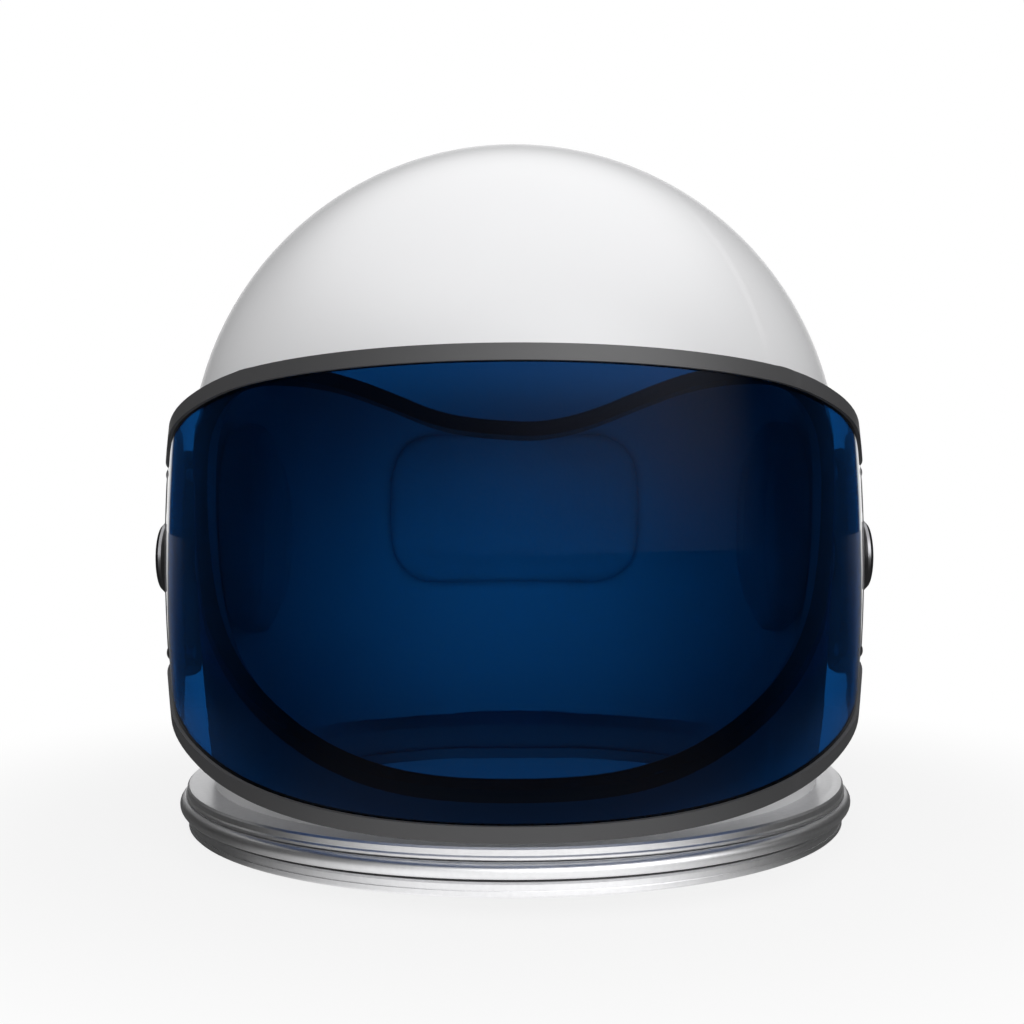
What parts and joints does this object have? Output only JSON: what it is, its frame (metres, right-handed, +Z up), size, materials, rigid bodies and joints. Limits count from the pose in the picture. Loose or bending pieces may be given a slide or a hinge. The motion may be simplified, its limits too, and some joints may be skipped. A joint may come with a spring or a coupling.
{
  "type": "space helmet",
  "caption": "Round white space helmet with a large tinted visor that lifts on side pivots, on a stepped metal neck ring with a turning collar.",
  "frame": {"origin": "middle of the neck ring's bottom face", "axes": "+Z up, the face looks towards -Y, +X is the wearer's left"},
  "size_m": [0.364, 0.3617, 0.3265],
  "materials": {
    "white_shell": "smooth gloss white",
    "liner": "pale moulded foam",
    "gasket_rubber": "black satin rubber",
    "visor_tint": "deep blue tint, gloss",
    "trim_rubber": "dark grey satin rubber",
    "hinge_metal": "black satin paint",
    "rivet_steel": "satin",
    "backing_metal": "black satin paint",
    "bush_polymer": "dark grey bearing plastic",
    "boss_plastic": "white satin",
    "washer_fibre": "dark fibre washer",
    "anchor_steel": "satin",
    "shaft_steel": "satin",
    "knob_metal": "dark satin paint",
    "ring_aluminium": "fine turned satin",
    "seal_rubber": "black satin rubber",
    "screw_steel": "satin",
    "pad_fabric": "light grey woven cover"
  },
  "bodies": {
    "helmet": {"shell": "white_shell", "inner_liner": "liner", "face_gasket": "gasket_rubber", "pivot_boss_left": "boss_plastic", "pivot_boss_right": "boss_plastic", "friction_washer_left": "washer_fibre", "friction_washer_right": "washer_fibre", "anchor_washer_left": "anchor_steel", "anchor_washer_right": "anchor_steel", "pivot_shaft_left": "shaft_steel", "pivot_shaft_right": "shaft_steel", "neck_flange": "ring_aluminium", "base_ring": "ring_aluminium", "ring_seal": "seal_rubber", "ring_screws": "screw_steel", "crown_pad": "pad_fabric", "rear_pad": "pad_fabric", "brow_pad": "pad_fabric", "side_pad_left": "pad_fabric", "side_pad_right": "pad_fabric"},
    "visor": {"visor_lens": "visor_tint", "upper_trim": "trim_rubber", "lower_trim": "trim_rubber", "hinge_plate_left": "hinge_metal", "hinge_plate_right": "hinge_metal", "backing_plate_left": "backing_metal", "backing_plate_right": "backing_metal", "hinge_rivets_left": "rivet_steel", "hinge_rivets_right": "rivet_steel", "pivot_bush_left": "bush_polymer", "pivot_bush_right": "bush_polymer"},
    "knob_left": {"pivot_knob_left": "knob_metal"},
    "knob_right": {"pivot_knob_right": "knob_metal"},
    "collar": {"locking_collar": "ring_aluminium"}
  },
  "joints": [
    {"name": "visor_lift", "type": "hinge", "parent": "helmet", "child": "visor", "pos_m": [0, 0.02, 0.125], "axis": [-1, 0, 0], "range_deg": [0, 55]},
    {"name": "knob_left_turn", "type": "hinge", "parent": "helmet", "child": "knob_left", "pos_m": [0.174, 0.02, 0.125], "axis": [1, 0, 0], "range_deg": [0, 270]},
    {"name": "knob_right_turn", "type": "hinge", "parent": "helmet", "child": "knob_right", "pos_m": [-0.174, 0.02, 0.125], "axis": [-1, 0, 0], "range_deg": [0, 270]},
    {"name": "collar_turn", "type": "hinge", "parent": "helmet", "child": "collar", "pos_m": [0, 0, 0.011], "axis": [0, 0, 1], "range_deg": [0, 30]}
  ]
}
